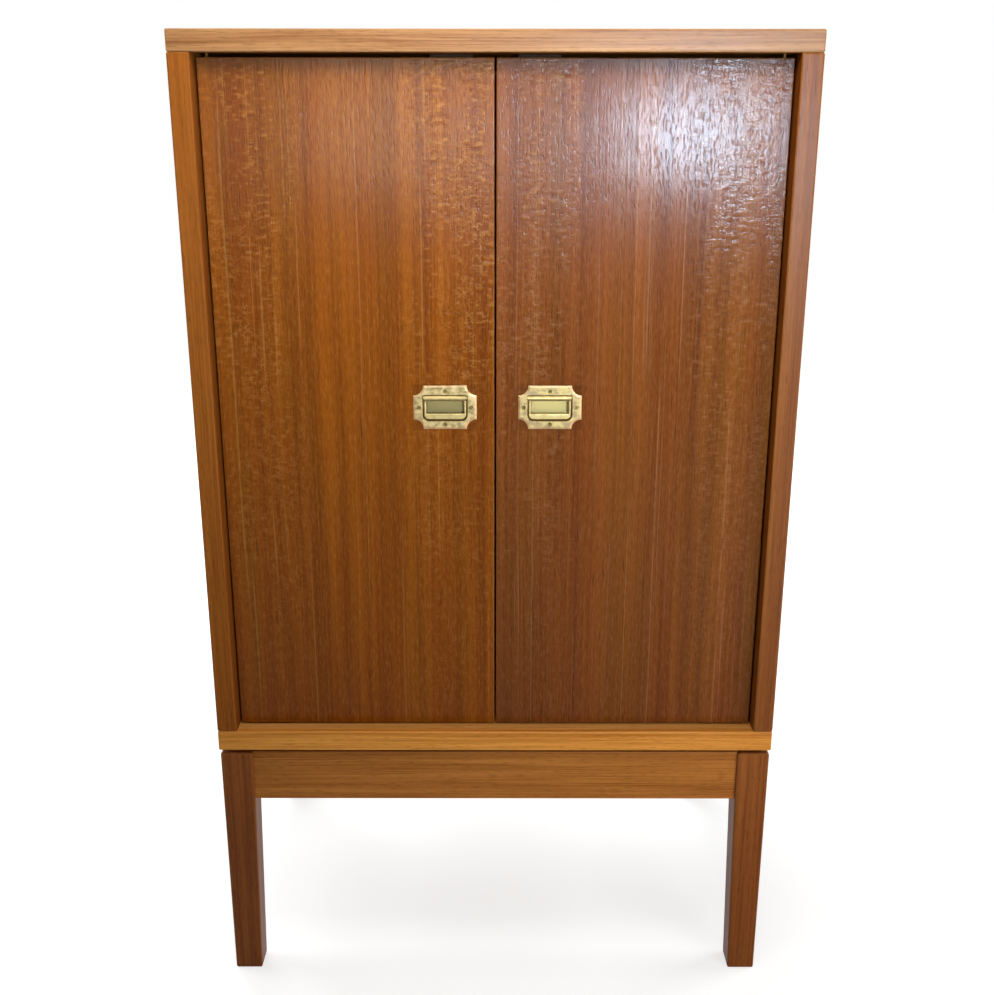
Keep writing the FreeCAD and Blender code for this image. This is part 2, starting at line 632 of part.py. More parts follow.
def door(pull_cuts):
    """Left-hand door with its front edges rounded."""
    panel = block((DOOR_HINGE_EDGE, DOOR_MEETING_EDGE), (DOOR_FRONT, DOOR_BACK),
                  (FLOOR + DOOR_FOOT_GAP, CEILING - DOOR_TOP_GAP))
    panel = soften(panel, DOOR_ARRIS, lambda box: box.YMax < DOOR_FRONT + TOUCH)
    hinge_cuts = hinges["upper"]["door_cuts"] + hinges["lower"]["door_cuts"]
    return carve(panel, hinge_cuts + keeper_holes + pull_cuts)


pull_pieces, pull_cuts = pull()
for hand, setback in PULL_SETBACK.items():
    place = V(DOOR_MEETING_EDGE - setback, DOOR_FRONT, PULL_HEIGHT)
    for name, shape in pull_pieces.items():
        solids = shape if isinstance(shape, list) else [shape]
        nodes[hand + "_" + name] = [for_hand(hand, solid.translated(place)) for solid in solids]
    nodes[hand + "_door_panel"] = for_hand(hand, door([cut.translated(place) for cut in pull_cuts]))


# One file per node; identical fasteners of a place share a node

os.makedirs("parts", exist_ok=True)
for name, shape in nodes.items():
    if isinstance(shape, list):
        shape = Part.makeCompound(shape)
    shape.exportStep("parts/" + name + ".step")
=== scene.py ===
import json
import math

import bpy
from mathutils import Matrix, Vector


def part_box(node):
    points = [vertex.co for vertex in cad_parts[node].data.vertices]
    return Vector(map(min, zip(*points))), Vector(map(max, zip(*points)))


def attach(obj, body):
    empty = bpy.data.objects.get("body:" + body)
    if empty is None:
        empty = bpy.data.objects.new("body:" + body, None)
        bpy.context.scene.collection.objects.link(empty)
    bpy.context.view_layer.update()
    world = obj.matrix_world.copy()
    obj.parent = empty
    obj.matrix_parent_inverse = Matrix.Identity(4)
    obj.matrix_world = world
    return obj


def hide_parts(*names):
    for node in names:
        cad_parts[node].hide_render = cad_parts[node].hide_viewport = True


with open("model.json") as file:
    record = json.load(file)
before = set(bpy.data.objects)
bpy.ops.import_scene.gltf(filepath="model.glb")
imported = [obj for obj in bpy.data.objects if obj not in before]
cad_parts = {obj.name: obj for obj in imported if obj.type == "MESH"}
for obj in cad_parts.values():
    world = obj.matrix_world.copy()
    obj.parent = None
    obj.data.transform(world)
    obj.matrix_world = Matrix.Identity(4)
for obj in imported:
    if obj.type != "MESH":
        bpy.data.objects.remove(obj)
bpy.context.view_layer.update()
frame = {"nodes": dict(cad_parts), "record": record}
nodes = frame["nodes"]
bodies = frame["record"]["behaviour"]["bodies"]
node_bodies = {name: body for body, names in bodies.items() for name in names}

MM = 0.001
HANDS = ("left", "right")

# Camera, fitted to the outline of the cabinet in a frame of 994 x 995 pixels
CAMERA_PLACE = Vector((1.6, -1486.3, 1021.2)) * MM
CAMERA_TILT = math.radians(17.26)
CAMERA_ROLL = math.radians(-0.063)
CAMERA_LENS = 43.0


# Shared helpers

def linear(code):
    """Linear colour with alpha from an sRGB hex code."""
    parts = [int(code[start:start + 2], 16) / 255 for start in (1, 3, 5)]
    return [part / 12.92 if part <= 0.04045 else ((part + 0.055) / 1.055) ** 2.4 for part in parts] + [1.0]


def add(tree, kind, inputs=None, out=0, **settings):
    """Add a shader node with its settings and links, and give back one of its output sockets."""
    made = tree.nodes.new("ShaderNode" + kind)
    for name, value in settings.items():
        setattr(made, name, value)
    for socket, value in (inputs or {}).items():
        if isinstance(value, bpy.types.NodeSocket):
            tree.links.new(value, made.inputs[socket])
        else:
            made.inputs[socket].default_value = value
    return made.outputs[out] if made.outputs else None


def new_material(name):
    """An empty node material and its tree."""
    material = bpy.data.materials.new(name)
    material.use_nodes = True
    material.node_tree.nodes.clear()
    return material, material.node_tree


def coat(material, *names):
    """Give CAD nodes a material."""
    for name in names:
        slots = nodes[name].data.materials
        slots.clear()
        slots.append(material)


# Patterns in object space. In a MapRange node sockets 0 to 4 are the value, its range and the new range,
# which is 0 to 1 unless it is given. In a Mix node socket 0 is the share of the second of two numbers, 2
# and 3, or of two colours, 6 and 7. Noise lies round 0.5: a range above that picks out its crests, and a
# falling range below it picks out its hollows.

def grain_pattern(tree, place, grain, across, along, detail=2.0):
    """Noise whose features have a width across the grain and a length along it, in millimetres."""
    scale = [1 / (across * MM)] * 3
    scale["XYZ".index(grain)] = 1 / (along * MM)
    mapped = add(tree, "Mapping", {"Vector": place, "Scale": scale})
    return add(tree, "TexNoise", {"Vector": mapped, "Scale": 1.0, "Detail": detail})


def swayed(tree, place, grain, reach, across=120.0, along=420.0):
    """A place that wanders sideways along the grain by a reach in millimetres."""
    wander = grain_pattern(tree, place, grain, across, along, 1.0)
    shift = add(tree, "MapRange", {0: wander, 1: 0.0, 2: 1.0, 3: -reach * MM, 4: reach * MM})
    return add(tree, "VectorMath", {0: place, 1: shift}, operation="ADD")


def worn_and_sheen_edges(tree, steep=0.86, flat=0.985):
    """1 on rounded or sloping edges, which face none of the three axes, and 0 on flat faces."""
    normal = add(tree, "TexCoord", out="Normal")
    facing = add(tree, "VectorMath", {0: normal}, operation="ABSOLUTE")
    most = add(tree, "SeparateXYZ", {0: facing}, out="X")
    for axis in "YZ":
        other = add(tree, "SeparateXYZ", {0: facing}, out=axis)
        most = add(tree, "Math", {0: most, 1: other}, operation="MAXIMUM")
    return add(tree, "MapRange", {0: most, 1: flat, 2: steep})


def distance_from(tree, place, axis, middle):
    """How far a place lies from a middle along one axis."""
    along = add(tree, "SeparateXYZ", {0: place}, out=axis)
    apart = add(tree, "Math", {0: along, 1: middle}, operation="SUBTRACT")
    return add(tree, "Math", {0: apart}, operation="ABSOLUTE")


def laid_over(tree, colour, share, strength, code):
    """A colour with another laid over it by a pattern's share at a strength."""
    amount = add(tree, "Math", {0: share, 1: strength}, operation="MULTIPLY")
    return add(tree, "Mix", {0: amount, 6: colour, 7: linear(code)}, out=2, data_type="RGBA")


# Wood. Sizes are in millimetres, and a pair of them is a width across the grain and a length along it.
# Real teak has pores about 0.3 mm wide. They are drawn a few times as wide, so that they show.

OIL_WEIGHT = 0.08
WOOD_IOR = 1.46
WOOD_SWAY = 4.0
WOOD_BAND_WIDTH = 9.0
WOOD_BAND_LENGTH = 700.0
WOOD_LINE = (1.9, 150.0)
WOOD_PORE = (1.1, 14.0)
WOOD_RELIEF = 0.05


def wood_surface(
        material, tree, colour, relief, depth, roughness, coat_roughness, specular, anisotropy=0.0):
    """Wood with a fine relief under a trace of oil or lacquer: a wide haze and a thin, closer gloss."""
    bump = add(tree, "Bump", {"Height": relief, "Strength": 1.0, "Distance": depth * MM})
    shader = add(tree, "BsdfPrincipled", {
        "Base Color": colour, "Roughness": roughness, "Specular IOR Level": specular, "IOR": WOOD_IOR,
        "Anisotropic": anisotropy, "Normal": bump,
        "Coat Weight": OIL_WEIGHT, "Coat Roughness": coat_roughness, "Coat Normal": bump})
    add(tree, "OutputMaterial", {"Surface": shader})
    return material


def solid_wood(name, grain, dark, light, pore, edge_wear_and_sheen, roughness=0.4, specular=0.06, band=WOOD_BAND_WIDTH):
    """Solid or plainly veneered wood: bands and lines along one axis, short pores, pale edges of wear and
    painted highlight.
    """
    material, tree = new_material(name)
    place = swayed(tree, add(tree, "TexCoord", out="Object"), grain, WOOD_SWAY)
    bands = grain_pattern(tree, place, grain, band, WOOD_BAND_LENGTH, 3.0)
    lines = grain_pattern(tree, place, grain, *WOOD_LINE)
    pores = grain_pattern(tree, place, grain, *WOOD_PORE, 1.0)
    pores = add(tree, "MapRange", {0: pores, 1: 0.56, 2: 0.72})
    tone = add(tree, "Math", {0: bands, 1: lines}, operation="ADD")
    share = add(tree, "MapRange", {0: tone, 1: 0.72, 2: 1.28})
    colour = add(tree, "Mix", {0: share, 6: linear(dark), 7: linear(light)}, out=2, data_type="RGBA")
    colour = laid_over(tree, colour, pores, 0.38, pore)
    # The pale edges are wear with a painted highlight along the arrises
    colour = laid_over(tree, colour, worn_and_sheen_edges(tree), 0.22, edge_wear_and_sheen)
    relief = add(tree, "Math", {0: lines, 1: pores}, operation="SUBTRACT")
    uneven = add(tree, "MapRange", {0: lines, 1: 0.3, 2: 0.7, 3: roughness - 0.05, 4: roughness + 0.08})
    return wood_surface(
        material, tree, colour, relief, depth=WOOD_RELIEF, roughness=uneven,
        coat_roughness=roughness - 0.1, specular=specular)


# Door veneer: the grain, then the figure along both sides of the door, then what age has done

VENEER_SWAY = 5.0
VENEER_BAND = (17.0, 1100.0)
VENEER_LINE = (2.6, 300.0)
VENEER_PORE = (1.3, 9.0)
VENEER_RELIEF = 0.085
HUE_BAND = (31.0, 1500.0)
PALE_LINE = (3.4, 2500.0)
DARK_STREAK = (2.4, 42.0)
LADDER_WIDTH = 7.0
RUNG_HEIGHT = 4.6
RIPPLE = (6.5, 5.5)
HOOK = (8.0, 5.5)
HOOK_BREAK = (9.0, 7.0)
HOOK_CROWD = (19.0, 260.0)
FIGURE_PATCH = (34.0, 120.0)
CLEAR_HALF_WIDTH = 42.0
FIGURED_HALF_WIDTH = 80.0
FIGURE_SHEEN_AT_FOOT = 0.1
DARKENING_REACH = 2.2
PAINTED_SHADOW_STRIP = 19.0


def ladders(tree, place, flat):
    """Rungs in narrow columns, loosened by a ripple."""
    column = add(tree, "SeparateXYZ", {0: place}, out="X")
    column = add(tree, "Math", {0: column, 1: LADDER_WIDTH * MM}, operation="DIVIDE")
    column = add(tree, "Math", {0: column}, operation="FLOOR")
    # A wide and uneven step in the noise keeps one column unlike the next
    column = add(tree, "Math", {0: column, 1: math.e}, operation="MULTIPLY")
    rung = add(tree, "SeparateXYZ", {0: flat}, out="Z")
    rung = add(tree, "Math", {0: rung, 1: RUNG_HEIGHT * MM}, operation="DIVIDE")
    spot = add(tree, "CombineXYZ", {"X": column, "Z": rung})
    rungs = add(tree, "TexNoise", {"Vector": spot, "Scale": 1.0, "Detail": 1.0})
    ripple = grain_pattern(tree, flat, "Z", *RIPPLE, 1.0)
    return add(tree, "Mix", {0: 0.45, 2: rungs, 3: ripple}, data_type="FLOAT")


def curls(tree, place, flat):
    """Short pale hooks, crowded into loose columns."""
    hooks = grain_pattern(tree, flat, "Z", *HOOK, 1.0)
    hooks = add(tree, "Math", {0: hooks, 1: 0.5}, operation="SUBTRACT")
    hooks = add(tree, "Math", {0: hooks}, operation="ABSOLUTE")
    hooks = add(tree, "MapRange", {0: hooks, 1: 0.06, 2: 0.02})
    crowds = grain_pattern(tree, place, "Z", *HOOK_CROWD, 1.0)
    crowds = add(tree, "MapRange", {0: crowds, 1: 0.4, 2: 0.58})
    breaks = grain_pattern(tree, flat, "Z", *HOOK_BREAK, 1.0)
    breaks = add(tree, "MapRange", {0: breaks, 1: 0.44, 2: 0.58})
    crowded = add(tree, "Math", {0: hooks, 1: crowds}, operation="MULTIPLY")
    return add(tree, "Math", {0: crowded, 1: breaks}, operation="MULTIPLY")


def darker_round_pull(tree, flat, hand):
    """1 within the outline of a pull's plate, scooped corners too, and 0 a little way outside it."""
    low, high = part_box(hand + "_pull_plate")
    beyond = []
    for axis, middle, half in zip("XZ", ((low + high) / 2).xz, ((high - low) / 2).xz):
        apart = distance_from(tree, flat, axis, middle)
        beyond.append(add(tree, "Math", {0: apart, 1: half}, operation="SUBTRACT"))
    outside = add(tree, "Math", {0: beyond[0], 1: beyond[1]}, operation="MAXIMUM")
    return add(tree, "MapRange", {0: outside, 1: 0.0, 2: DARKENING_REACH * MM, 3: 1.0, 4: 0.0})


def door_veneer(name, hand, dark, light, red, olive, pore, fleck, edge_wear_and_sheen):
    """Teak veneer under matt lacquer: soft red and olive bands up the middle, pale ticks and curls along
    both sides. The vertical pores spread its gloss sideways."""
    material, tree = new_material(name)
    low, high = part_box(hand + "_door_panel")
    middle = (low + high) / 2
    flat = add(tree, "TexCoord", out="Object")
    place = swayed(tree, flat, "Z", VENEER_SWAY)
    height = add(tree, "SeparateXYZ", {0: flat}, out="Z")

    # Grain
    bands = grain_pattern(tree, place, "Z", *VENEER_BAND, 3.0)
    lines = grain_pattern(tree, place, "Z", *VENEER_LINE)
    hues = grain_pattern(tree, place, "Z", *HUE_BAND, 1.0)
    reds = add(tree, "MapRange", {0: hues, 1: 0.5, 2: 0.66})
    olives = add(tree, "MapRange", {0: hues, 1: 0.5, 2: 0.34})
    strokes = grain_pattern(tree, place, "Z", *VENEER_PORE, 1.0)
    pores = add(tree, "MapRange", {0: strokes, 1: 0.54, 2: 0.72})
    ridges = add(tree, "MapRange", {0: strokes, 1: 0.46, 2: 0.3})
    pale_lines = grain_pattern(tree, place, "Z", *PALE_LINE, 1.0)
    pale_lines = add(tree, "MapRange", {0: pale_lines, 1: 0.64, 2: 0.74})
    streaks = grain_pattern(tree, place, "Z", *DARK_STREAK, 1.0)
    streaks = add(tree, "MapRange", {0: streaks, 1: 0.71, 2: 0.78})

    # Ladders and curls stand in patches along both sides. Their weakening towards the foot of the door is
    # painted sheen, stronger near the top
    from_middle = distance_from(tree, flat, "X", middle.x)
    strength = add(tree, "MapRange", {
        0: from_middle, 1: CLEAR_HALF_WIDTH * MM, 2: FIGURED_HALF_WIDTH * MM})
    patches = grain_pattern(tree, flat, "Z", *FIGURE_PATCH, 1.0)
    patches = add(tree, "MapRange", {0: patches, 1: 0.3, 2: 0.54})
    sheen_fade = add(tree, "MapRange", {0: height, 1: low.z, 2: high.z, 3: FIGURE_SHEEN_AT_FOOT, 4: 1.0})
    for share in (patches, sheen_fade):
        strength = add(tree, "Math", {0: strength, 1: share}, operation="MULTIPLY")
    figure = ladders(tree, place, flat)
    ticks = add(tree, "MapRange", {0: figure, 1: 0.53, 2: 0.66})
    ticks = add(tree, "Math", {0: ticks, 1: curls(tree, place, flat)}, operation="MAXIMUM")
    ticks = add(tree, "Math", {0: ticks, 1: strength}, operation="MULTIPLY")
    hollows = add(tree, "MapRange", {0: figure, 1: 0.47, 2: 0.34})
    hollows = add(tree, "Math", {0: hollows, 1: strength}, operation="MULTIPLY")

    # On the outer face: a darkening round the pull, and a painted shadow in a strip under the overhanging
    # top
    depth = add(tree, "SeparateXYZ", {0: flat}, out="Y")
    outer_face = add(tree, "Math", {0: depth, 1: middle.y}, operation="LESS_THAN")
    # Darker within the plate's outline, which shows in its scooped corners, and for a little way outside
    # it
    pull_darkening = add(tree, "Math", {0: darker_round_pull(tree, flat, hand), 1: outer_face}, operation="MULTIPLY")
    # Painted shadow under the overhanging top, darkest at the door's top edge
    painted_top_shadow = add(tree, "MapRange", {0: height, 1: high.z - PAINTED_SHADOW_STRIP * MM, 2: high.z})
    painted_top_shadow = add(tree, "Math", {0: painted_top_shadow, 1: outer_face}, operation="MULTIPLY")

    tone = add(tree, "Mix", {0: 0.35, 2: bands, 3: lines}, data_type="FLOAT")
    share = add(tree, "MapRange", {0: tone, 1: 0.36, 2: 0.64})
    colour = add(tree, "Mix", {0: share, 6: linear(dark), 7: linear(light)}, out=2, data_type="RGBA")
    # The pale edges among these layers are wear with a painted highlight
    layers = (
        (reds, 0.16, red), (olives, 0.16, olive), (pale_lines, 0.26, fleck), (ridges, 0.12, fleck),
        (pores, 0.24, pore), (streaks, 0.55, pore), (hollows, 0.36, pore), (ticks, 0.37, fleck),
        (pull_darkening, 0.3, pore), (painted_top_shadow, 0.6, pore), (worn_and_sheen_edges(tree), 0.25, edge_wear_and_sheen))
    for pattern, amount, code in layers:
        colour = laid_over(tree, colour, pattern, amount, code)

    relief = add(tree, "Math", {0: ticks, 1: hollows}, operation="SUBTRACT")
    relief = add(tree, "Math", {0: relief, 1: pores}, operation="SUBTRACT")
    relief = add(tree, "Math", {0: relief, 1: lines}, operation="ADD")
    uneven = add(tree, "MapRange", {0: pores, 1: 0.0, 2: 1.0, 3: 0.3, 4: 0.42})
    return wood_surface(
        material, tree, colour, relief, depth=VENEER_RELIEF, roughness=uneven, coat_roughness=0.14,
        specular=0.05, anisotropy=0.75)


# Teak veneer, matt lacquered: the left door orange brown, the right one darker and redder
left_veneer = door_veneer(
    "left_door_teak_veneer", "left", "#612b02", "#804206", red="#793404", olive="#6a4205",
    pore="#3c1a03", fleck="#ad793d", edge_wear_and_sheen="#9c6226")
right_veneer = door_veneer(
    "right_door_teak_veneer", "right", "#582909", "#753d13", red="#6a2c0f", olive="#5e3d0d",
    pore="#301506", fleck="#966a45", edge_wear_and_sheen="#84562e")

# Teak veneer on the case: broad even bands; the bottom board's paler colour is painted light on its ledge
CASE_BAND = 17.0
case_upright = solid_wood(
    "case_teak_veneer_upright", "Z", "#6a360e", "#8c501d", "#3f1c06", "#9a6a38", band=CASE_BAND)
case_lying = solid_wood(
    "case_teak_veneer_lying", "X", "#794211", "#9f6024", "#451f07", "#b07b3f", band=CASE_BAND)
bottom_board = solid_wood(
    "bottom_board_teak_veneer", "X", "#ba7e3a", "#dea35d", "#7a4c1c", "#e3b680", band=CASE_BAND)

# Solid teak, oiled: narrower bands, golden on the bottom lipping, dull on the left one, dark on the legs
left_lipping = solid_wood(
    "left_lipping_teak", "Z", "#743a0d", "#93541a", "#492306", "#9a5d26", roughness=0.5, specular=0.03)
right_lipping = solid_wood(
    "right_lipping_teak", "Z", "#65320d", "#824918", "#401e08", "#9b6633", specular=0.08)
top_lipping = solid_wood(
    "top_lipping_teak", "X", "#76481f", "#a5764a", "#4a2a11", "#c29a6d", specular=0.16)
bottom_lipping = solid_wood("bottom_lipping_teak", "X", "#ac6520", "#da9340", "#733f12", "#dfa056")
leg_teak = solid_wood("leg_teak", "Z", "#713a13", "#8e5323", "#3e1e09", "#9c6635")
RAIL_TONES = ("#8c501b", "#b77433", "#4e280b", "#c88c4d")
rail_teak = solid_wood("rail_teak", "X", *RAIL_TONES)
side_rail_teak = solid_wood("side_rail_teak", "Y", *RAIL_TONES)

# Planed beech: pale, even, with short flecks; birch plywood: paler bands under a thin sealer
BEECH_TONES = ("#b98d5c", "#cfa878", "#8f6a42", "#dcbb92")
beech = solid_wood("planed_beech", "Y", *BEECH_TONES, roughness=0.55)
dowel_beech = solid_wood("beech_dowel", "Z", *BEECH_TONES, roughness=0.55)
plywood = solid_wood(
    "back_plywood", "Z", "#94683a", "#ad8150", "#6c4622", "#bb935f", roughness=0.5, band=26.0)


# Metals and mouldings. Their scratches and grit are drawn coarser than the real ones, so that they show.

TARNISH_CLOUD = (5.0, 7.0)
TARNISH_ROUGHNESS = 0.2
SCRATCH_STRETCH = 9
SCRATCH_RELIEF = 0.04
MOULDED_CLOUD = 7.0
MOULDED_GRIT = 0.9
MOULDED_RELIEF = 0.05


def worn_metal(name, bright, dull, roughness, grit, tarnish=0.6, rim=None, recess=None):
    """Metal with a cloudy tarnish and fine scratches. A recess, as two depths along Y, is painted inside
    in the second colour, as the recess's light and shade.
    """
    material, tree = new_material(name)
    place = add(tree, "TexCoord", out="Object")
    clouds = grain_pattern(tree, place, "X", *TARNISH_CLOUD, 4.0)
    clouds = add(tree, "MapRange", {0: clouds, 1: 0.4, 2: 0.64})
    share = add(tree, "Math", {0: clouds, 1: tarnish}, operation="MULTIPLY")
    if recess:
        depth = add(tree, "SeparateXYZ", {0: place}, out="Y")
        depth = add(tree, "MapRange", {0: depth, 1: recess[0], 2: recess[1]})
        share = add(tree, "Math", {0: share, 1: depth}, operation="MAXIMUM")
    colour = add(tree, "Mix", {0: share, 6: linear(bright), 7: linear(dull)}, out=2, data_type="RGBA")
    # Sloping rims take a painted reflection of the wood round them, in the rim colour
    if rim:
        colour = laid_over(tree, colour, worn_and_sheen_edges(tree, steep=0.96, flat=0.99), 0.6, rim)
    scratches = grain_pattern(tree, place, "X", grit, grit * SCRATCH_STRETCH)
    bump = add(tree, "Bump", {"Height": scratches, "Strength": 0.4, "Distance": SCRATCH_RELIEF * MM})
    uneven = add(tree, "MapRange", {
        0: share, 1: 0.0, 2: 1.0, 3: roughness, 4: roughness + TARNISH_ROUGHNESS})
    shader = add(tree, "BsdfPrincipled", {
        "Base Color": colour, "Metallic": 1.0, "Roughness": uneven, "Normal": bump})
    add(tree, "OutputMaterial", {"Surface": shader})
    return material


def moulded(name, dark, light, roughness, specular):
    """Moulded plastic or pressed ferrite: a cloudy colour with a fine spark-eroded grain."""
    material, tree = new_material(name)
    place = add(tree, "TexCoord", out="Object")
    clouds = grain_pattern(tree, place, "X", MOULDED_CLOUD, MOULDED_CLOUD)
    colour = add(tree, "Mix", {0: clouds, 6: linear(dark), 7: linear(light)}, out=2, data_type="RGBA")
    grain = grain_pattern(tree, place, "X", MOULDED_GRIT, MOULDED_GRIT)
    bump = add(tree, "Bump", {"Height": grain, "Strength": 0.3, "Distance": MOULDED_RELIEF * MM})
    shader = add(tree, "BsdfPrincipled", {
        "Base Color": colour, "Roughness": roughness, "Specular IOR Level": specular, "Normal": bump})
    add(tree, "OutputMaterial", {"Surface": shader})
    return material


# Cast brass, once polished and now hazy: pale yellow faces, and a painted reflection of the wood on
# sloping rims
# Inside the recesses the second tone is painted in: painted shade on the left pull, painted light on the
# right one
BRIGHT_DEPTH = 3.0
PULL_RECESS = (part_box("left_pull_plate")[0].y + BRIGHT_DEPTH * MM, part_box("left_pull_cup")[1].y)
PULL_TONES = {"left": ("#a3895f", "#71643e", 0.95), "right": ("#7b6446", "#a5915c", 0.85)}
plate_brass = {}
for hand, (bright, dull, tarnish) in PULL_TONES.items():
    plate_brass[hand] = worn_metal(
        hand + "_plate_brass", bright, dull, roughness=0.42, grit=0.5, tarnish=tarnish, rim="#b98a66",
        recess=PULL_RECESS)
bail_brass = worn_metal("bail_brass", "#a18b5c", "#7a6a40", roughness=0.36, grit=0.5)
pull_screw_brass = worn_metal("pull_screw_brass", "#6c5a30", "#3a2e14", roughness=0.4, grit=0.4)

# Drawn brass and turned bronze, brown with age; zinc-plated steel, grey with a faint warm bloom
# The hinge brass and bronze are also darkened as painted shade of the door gaps they sit in
hinge_brass = worn_metal("hinge_brass", "#8f7440", "#5e4822", roughness=0.36, grit=0.5)
bronze = worn_metal("pivot_bronze", "#4a3418", "#2e200f", roughness=0.5, grit=0.5)
steel = worn_metal("zinc_plated_steel", "#b9bab6", "#8d8c85", roughness=0.34, grit=0.4)

# Brown moulded plastic, dull and nearly black in the shade of the case; ferrite, a flat dark grey
catch_plastic = moulded("brown_catch_plastic", "#20150c", "#2c1e12", roughness=0.8, specular=0.1)
ferrite = moulded("ferrite", "#1b1a1a", "#262424", roughness=0.7, specular=0.2)

coat(left_veneer, "left_door_panel")
coat(right_veneer, "right_door_panel")
coat(case_upright, "left_side", "right_side")
coat(case_lying, "top_panel", "upper_shelf", "lower_shelf")
coat(bottom_board, "bottom_panel")
coat(left_lipping, "left_side_lipping")
coat(right_lipping, "right_side_lipping")
coat(top_lipping, "top_lipping")
coat(bottom_lipping, "bottom_lipping")
coat(leg_teak, "front_left_leg", "front_right_leg", "rear_left_leg", "rear_right_leg")
coat(rail_teak, "front_rail", "rear_rail")
coat(side_rail_teak, "left_rail", "right_rail")
coat(beech, "left_bearer", "right_bearer")
coat(dowel_beech, "case_dowels")
coat(plywood, "back_panel")
coat(hinge_brass, "shelf_pins")
coat(bronze, "hinge_pins", "hinge_washers")
coat(ferrite, "catch_magnets")
for hand in HANDS:
    coat(plate_brass[hand], hand + "_pull_plate", hand + "_pull_cup")
    coat(bail_brass, hand + "_pull_bail", hand + "_bail_pins")
    for level in ("_upper", "_lower"):
        coat(hinge_brass, hand + level + "_fixed_leaf", hand + level + "_door_leaf")
    coat(catch_plastic, hand + "_catch_housing")
    coat(steel, hand + "_keeper")


# Slotted countersunk screws in place of the plain ones. The slot's shares are of the head's width, and the
# tip's are of the screw's length and of its shank.

SCREW_SIDES = 32
SLOT_WIDTH_SHARE = 0.17
SLOT_DEPTH_SHARE = 0.22
TIP_LENGTH_SHARE = 0.16
TIP_WIDTH_SHARE = 0.3
SLOT_TURN = math.radians(137.5)
SMOOTH_BELOW = math.radians(30)
SAME_POINT = 0.001 * MM
SAME_LEVEL = 0.1 * MM


def solids_of(node):
    """The corner points of each separate solid in a CAD node, read from a merged copy."""
    bpy.ops.object.select_all(action="DESELECT")
    copy = bpy.data.objects.new(node + "_solids", nodes[node].data.copy())
    bpy.context.scene.collection.objects.link(copy)
    copy.select_set(True)
    bpy.context.view_layer.objects.active = copy
    bpy.ops.object.mode_set(mode="EDIT")
    bpy.ops.mesh.select_all(action="SELECT")
    bpy.ops.mesh.remove_doubles(threshold=SAME_POINT)
    bpy.ops.mesh.separate(type="LOOSE")
    bpy.ops.object.mode_set(mode="OBJECT")
    pieces = bpy.context.selected_objects
    solids = [[vertex.co.copy() for vertex in piece.data.vertices] for piece in pieces]
    bpy.ops.object.delete()
    return solids


def screw_seat(points):
    """Middle of a screw's head, the way it points by its length, and its head and shank radius."""
    lowest, highest = (
        [pick(point[side] for point in points) for side in range(3)] for pick in (min, max))
    spans = [high - low for low, high in zip(lowest, highest)]
    axis = spans.index(max(spans))
    ends = []
    for level in (lowest[axis], highest[axis]):
        ring = [point for point in points if abs(point[axis] - level) < SAME_LEVEL]
        low, high = (
            Vector([pick(point[side] for point in ring) for side in range(3)]) for pick in (min, max))
        radius = (high - low).length / math.sqrt(8)
        ends.append((radius, (low + high) / 2))
    (shank, tip), (head, middle) = sorted(ends, key=lambda end: end[0])
    return middle, tip - middle, head, shank


def slotted_screw(head, shank, length):
    """One screw, its head's face at the origin and its tip below: cone, shank, tip and a milled slot."""
    bpy.ops.object.select_all(action="DESELECT")
    bpy.ops.mesh.primitive_circle_add(vertices=SCREW_SIDES, radius=head, fill_type="NGON")
    made = bpy.context.object
    bpy.ops.object.mode_set(mode="EDIT")
    bpy.ops.mesh.select_all(action="SELECT")
    cone = head - shank
    tip = TIP_LENGTH_SHARE * length
    for drop, narrowing in ((cone, shank / head), (length - cone - tip, 1.0), (tip, TIP_WIDTH_SHARE)):
        bpy.ops.mesh.extrude_region_move(TRANSFORM_OT_translate={"value": (0, 0, -drop)})
        bpy.ops.transform.resize(value=(narrowing, narrowing, 1))
    bpy.ops.mesh.select_all(action="SELECT")
    bpy.ops.mesh.normals_make_consistent(inside=False)
    bpy.ops.object.mode_set(mode="OBJECT")
    bpy.ops.mesh.primitive_cube_add(size=1.0)
    cutter = bpy.context.object
    width = 2 * head
    bpy.ops.transform.resize(value=(1.5 * width, SLOT_WIDTH_SHARE * width, 2 * SLOT_DEPTH_SHARE * width))
    bpy.ops.object.transform_apply(location=False, rotation=False, scale=True)
    slot = made.modifiers.new("slot", "BOOLEAN")
    slot.operation = "DIFFERENCE"
    slot.object = cutter
    bpy.context.view_layer.objects.active = made
    bpy.ops.object.modifier_apply(modifier="slot")
    bpy.data.objects.remove(cutter)
    return made


def fit_screws(node, material):
    """Replace a node's plain screws with slotted ones, each turned its own way."""
    seats = [screw_seat(points) for points in solids_of(node)]
    way, head, shank = seats[0][1:]
    pattern = slotted_screw(head, shank, way.length)
    pieces = []
    for step, (middle, way, _, _) in enumerate(seats):
        piece = bpy.data.objects.new(node + "_piece", pattern.data.copy())
        bpy.context.scene.collection.objects.link(piece)
        turn = Matrix.Rotation(step * SLOT_TURN, 4, "Z")
        aim = way.to_track_quat("-Z", "Y").to_matrix().to_4x4()
        piece.data.transform(Matrix.Translation(middle) @ aim @ turn)
        pieces.append(piece)
    bpy.data.objects.remove(pattern)
    bpy.ops.object.select_all(action="DESELECT")
    for piece in pieces:
        piece.select_set(True)
    bpy.context.view_layer.objects.active = pieces[0]
    bpy.ops.object.join()
    joined = bpy.context.object
    bpy.ops.object.shade_smooth_by_angle(angle=SMOOTH_BELOW)
    joined.name = "slotted_" + node
    joined.data.materials.clear()
    joined.data.materials.append(material)
    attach(joined, node_bodies[node])
    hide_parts(node)


